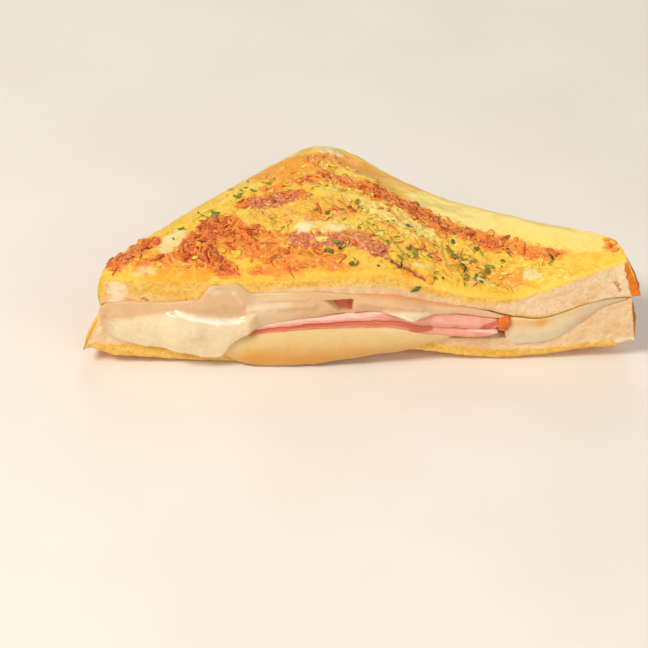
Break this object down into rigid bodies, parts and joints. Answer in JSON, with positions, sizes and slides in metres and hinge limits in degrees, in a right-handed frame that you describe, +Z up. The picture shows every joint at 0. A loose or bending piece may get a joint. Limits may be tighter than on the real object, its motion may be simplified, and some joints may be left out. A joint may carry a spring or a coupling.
{
  "type": "ham and cheese toastie half",
  "caption": "Triangular half of a fried ham and cheese toastie, cut face showing crumb, melted cheese and ham, herb flakes on its browned top.",
  "frame": {"origin": "centre of the bounding box at its underside, where the toastie rests", "axes": "+X along the cut face from its left end to its right, +Y from the cut face back to the crust corner, +Z up"},
  "size_m": [0.1452, 0.0752, 0.0324],
  "materials": {
    "crumb": "matt open bread crumb with an egg-dipped edge",
    "fried_bread": "egg-fried bread, yellow with orange-brown patches",
    "cheese_yellow": "melted yellow cheese, satin",
    "cheese_white": "melted pale cheese, glossy",
    "ham": "moist cooked ham",
    "ham_rind": "browned ham rind",
    "herb": "dried green herb flakes"
  },
  "bodies": {
    "root": {"bread_bottom": "crumb", "bread_top": "fried_bread", "cheese_lower": "cheese_yellow", "cheese_right": "cheese_white", "cheese_upper": "cheese_white", "ham_left": "ham", "ham_right": "ham", "ham_long": "ham", "ham_browned_end": "ham_rind"}
  },
  "joints": []
}
